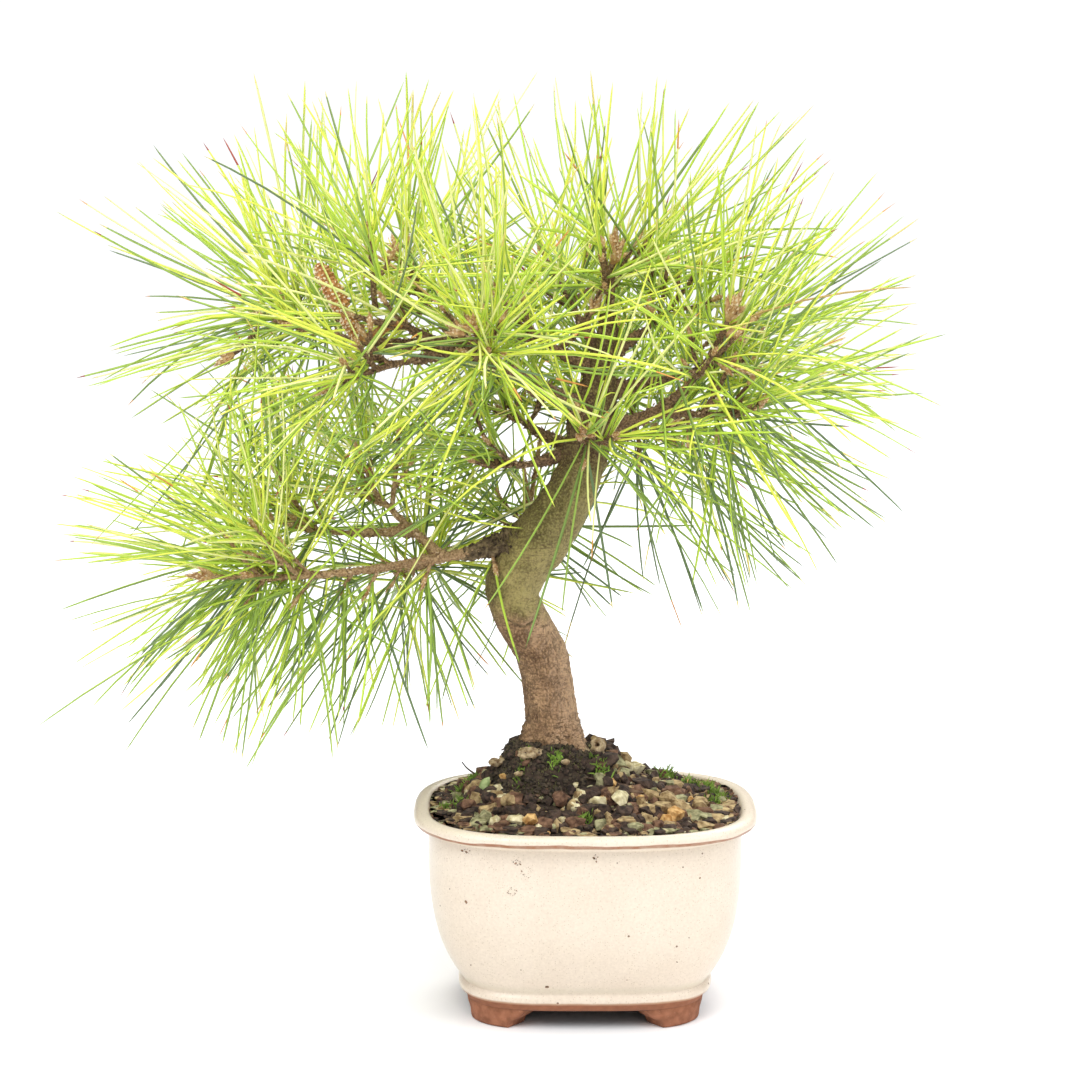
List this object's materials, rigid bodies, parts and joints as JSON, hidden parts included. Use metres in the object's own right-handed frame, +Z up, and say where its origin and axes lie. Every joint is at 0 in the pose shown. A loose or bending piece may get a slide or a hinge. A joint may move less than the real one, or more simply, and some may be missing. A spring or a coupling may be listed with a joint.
{
  "type": "potted bonsai tree",
  "caption": "Informal upright black pine bonsai with a leaning, bent trunk, spreading boughs and long needles, in a footed oblong glazed pot.",
  "frame": {"origin": "on the floor, under the middle of the whole plant's box, with the feet's undersides at z = 0", "axes": "+Z up, +X to the right seen from the front, +Y to the back; the long side of the pot faces -Y"},
  "size_m": [0.4407, 0.3338, 0.4725],
  "materials": {
    "cream_glaze": "gloss",
    "bare_clay": "matte",
    "gritty_soil": "matte",
    "bark": "matte",
    "needles": "satin"
  },
  "bodies": {
    "root": {"bough_back": "bark", "bough_back_left": "bark", "bough_far_left": "bark", "bough_front": "bark", "bough_left_hang": "bark", "bough_low_back": "bark", "bough_low_left": "bark", "bough_low_left_back": "bark", "bough_low_left_rise": "bark", "bough_low_left_under": "bark", "bough_mid_left": "bark", "bough_right": "bark", "bough_right_back": "bark", "bough_right_hang": "bark", "bough_right_low": "bark", "bough_top_back": "bark", "bough_top_left": "bark", "bough_top_mid": "bark", "bough_top_right": "bark", "bough_upper_front": "bark", "bough_upper_left": "bark", "foliage_apex": "needles", "foliage_back": "needles", "foliage_back_left": "needles", "foliage_far_left": "needles", "foliage_front": "needles", "foliage_left_hang": "needles", "foliage_low_back": "needles", "foliage_low_left": "needles", "foliage_low_left_back": "needles", "foliage_low_left_rise": "needles", "foliage_low_left_under": "needles", "foliage_mid_left": "needles", "foliage_right": "needles", "foliage_right_back": "needles", "foliage_right_hang": "needles", "foliage_right_low": "needles", "foliage_top_back": "needles", "foliage_top_left": "needles", "foliage_top_mid": "needles", "foliage_top_right": "needles", "foliage_upper_front": "needles", "foliage_upper_left": "needles", "foot_back_left": "bare_clay", "foot_back_right": "bare_clay", "foot_front_left": "bare_clay", "foot_front_right": "bare_clay", "pot": "cream_glaze", "soil": "gritty_soil", "trunk": "bark"}
  },
  "joints": []
}
